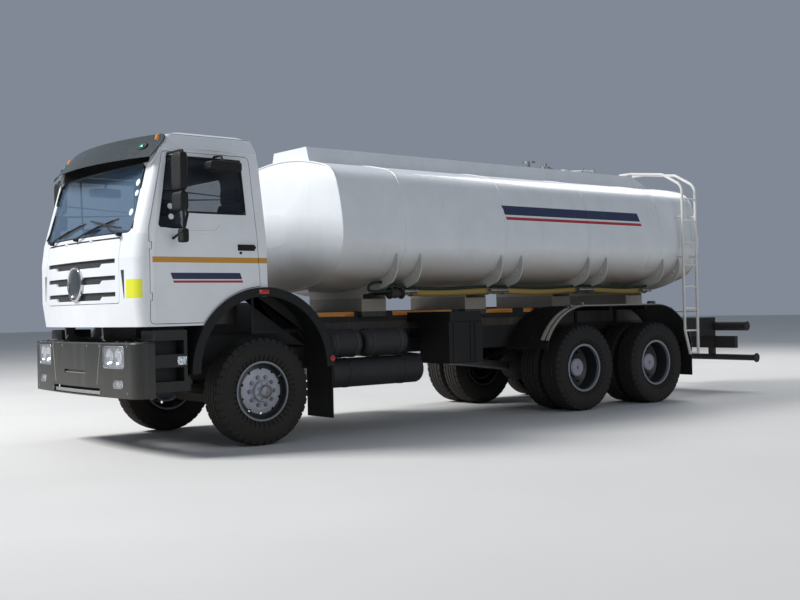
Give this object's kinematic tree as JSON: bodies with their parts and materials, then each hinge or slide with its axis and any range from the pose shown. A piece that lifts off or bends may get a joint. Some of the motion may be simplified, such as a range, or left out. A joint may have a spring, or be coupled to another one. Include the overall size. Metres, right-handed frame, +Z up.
{
  "type": "tanker truck",
  "caption": "Three-axle forward-control water tanker truck with a rounded box tank, saddles, side ladder and rear spray bar.",
  "frame": {"origin": "on the ground under the middle of the bounding box", "axes": "+X forward along the truck, +Y towards its left side, +Z up"},
  "size_m": [10.07, 2.98, 3.2763],
  "materials": {
    "cab_white": "gloss",
    "bumper_grey": "satin",
    "black_plastic": "matte",
    "visor_smoke": "gloss",
    "frame_grey": "satin",
    "rubber": "matte",
    "wheel_silver": "satin",
    "steel": "satin",
    "iron": "matte",
    "tank_white": "satin",
    "bracket_grey": "satin",
    "ladder_white": "satin",
    "pipe_ochre": "satin",
    "aluminium": "satin",
    "window_glass": "gloss",
    "lamp_clear": "gloss",
    "seat_fabric": "matte"
  },
  "bodies": {
    "chassis": {"frame_rails": "frame_grey", "front_axle_beam": "iron", "front_springs": "iron", "rear_axles": "iron", "rear_springs": "iron", "engine_block": "iron", "drive_shafts": "steel", "bumper": "bumper_grey", "front_lamps": "lamp_clear", "cab_steps": "bumper_grey", "front_mudguards": "black_plastic", "air_tanks": "frame_grey", "silencer": "steel", "battery_box": "black_plastic", "fuel_tank": "aluminium", "rear_mudguards": "black_plastic", "tank_shell": "tank_white", "tank_coaming": "tank_white", "tank_fittings": "steel", "tank_subframe": "bracket_grey", "ladder": "ladder_white", "rear_carrier": "frame_grey", "spray_bar": "frame_grey", "side_pipe": "pipe_ochre"},
    "cab": {"cab_shell": "cab_white", "windscreen": "window_glass", "rear_window": "window_glass", "cab_arches": "black_plastic", "sun_visor": "visor_smoke", "seats": "seat_fabric", "dashboard": "black_plastic"},
    "door_left": {"door_left": "cab_white", "door_glass_left": "window_glass", "mirrors_left": "black_plastic"},
    "door_right": {"door_right": "cab_white", "door_glass_right": "window_glass", "mirrors_right": "black_plastic"},
    "front_flap": {"front_flap": "cab_white"},
    "manhole_lid": {"manhole_lid": "tank_white"},
    "knuckle_left": {"knuckle_left": "iron"},
    "knuckle_right": {"knuckle_right": "iron"},
    "tie_rod": {"tie_rod": "steel"},
    "front_wheel_left": {"wheel_front_left": "wheel_silver", "tyre_front_left": "rubber"},
    "front_wheel_right": {"wheel_front_right": "wheel_silver", "tyre_front_right": "rubber"},
    "rear_twins_1_left": {"wheels_rear_1_left": "wheel_silver", "tyres_rear_1_left": "rubber"},
    "rear_twins_1_right": {"wheels_rear_1_right": "wheel_silver", "tyres_rear_1_right": "rubber"},
    "rear_twins_2_left": {"wheels_rear_2_left": "wheel_silver", "tyres_rear_2_left": "rubber"},
    "rear_twins_2_right": {"wheels_rear_2_right": "wheel_silver", "tyres_rear_2_right": "rubber"}
  },
  "joints": [
    {"name": "cab_tilt", "type": "hinge", "parent": "chassis", "child": "cab", "pos_m": [4.895, 0, 1.1], "axis": [0, 1, 0], "range_deg": [0, 50]},
    {"name": "door_left_swing", "type": "hinge", "parent": "cab", "child": "door_left", "pos_m": [4.791, 1.208, 1.715], "axis": [0, 0, -1], "range_deg": [0, 75]},
    {"name": "door_right_swing", "type": "hinge", "parent": "cab", "child": "door_right", "pos_m": [4.791, -1.208, 1.715], "axis": [0, 0, 1], "range_deg": [0, 75]},
    {"name": "front_flap_lift", "type": "hinge", "parent": "cab", "child": "front_flap", "pos_m": [4.963, 0, 2.032], "axis": [0, -1, 0], "range_deg": [0, 70]},
    {"name": "manhole_lid_lift", "type": "hinge", "parent": "chassis", "child": "manhole_lid", "pos_m": [-2.089, 0, 3.1953], "axis": [0, 1, 0], "range_deg": [0, 110]},
    {"name": "steer_left", "type": "hinge", "parent": "chassis", "child": "knuckle_left", "pos_m": [3.565, 0.845, 0.535], "axis": [0, 0, 1], "range_deg": [-35, 35]},
    {"name": "steer_right", "type": "hinge", "parent": "chassis", "child": "knuckle_right", "pos_m": [3.565, -0.845, 0.535], "axis": [0, 0, 1], "range_deg": [-35, 35]},
    {"name": "tie_rod_turn", "type": "hinge", "parent": "knuckle_left", "child": "tie_rod", "pos_m": [3.375, 0.845, 0.8], "axis": [0, 0, 1], "range_deg": [-35, 35]},
    {"name": "front_left_roll", "type": "hinge", "parent": "knuckle_left", "child": "front_wheel_left", "pos_m": [3.565, 1, 0.535], "axis": [0, 1, 0], "continuous": true},
    {"name": "front_right_roll", "type": "hinge", "parent": "knuckle_right", "child": "front_wheel_right", "pos_m": [3.565, -1, 0.535], "axis": [0, 1, 0], "continuous": true},
    {"name": "rear_1_left_roll", "type": "hinge", "parent": "chassis", "child": "rear_twins_1_left", "pos_m": [-1.085, 0.915, 0.535], "axis": [0, 1, 0], "continuous": true},
    {"name": "rear_1_right_roll", "type": "hinge", "parent": "chassis", "child": "rear_twins_1_right", "pos_m": [-1.085, -0.915, 0.535], "axis": [0, 1, 0], "continuous": true},
    {"name": "rear_2_left_roll", "type": "hinge", "parent": "chassis", "child": "rear_twins_2_left", "pos_m": [-2.515, 0.915, 0.535], "axis": [0, 1, 0], "continuous": true},
    {"name": "rear_2_right_roll", "type": "hinge", "parent": "chassis", "child": "rear_twins_2_right", "pos_m": [-2.515, -0.915, 0.535], "axis": [0, 1, 0], "continuous": true}
  ],
  "couplings": [
    {"joint": "steer_right", "follows": "steer_left", "ratio": 1},
    {"joint": "tie_rod_turn", "follows": "steer_left", "ratio": -1}
  ]
}
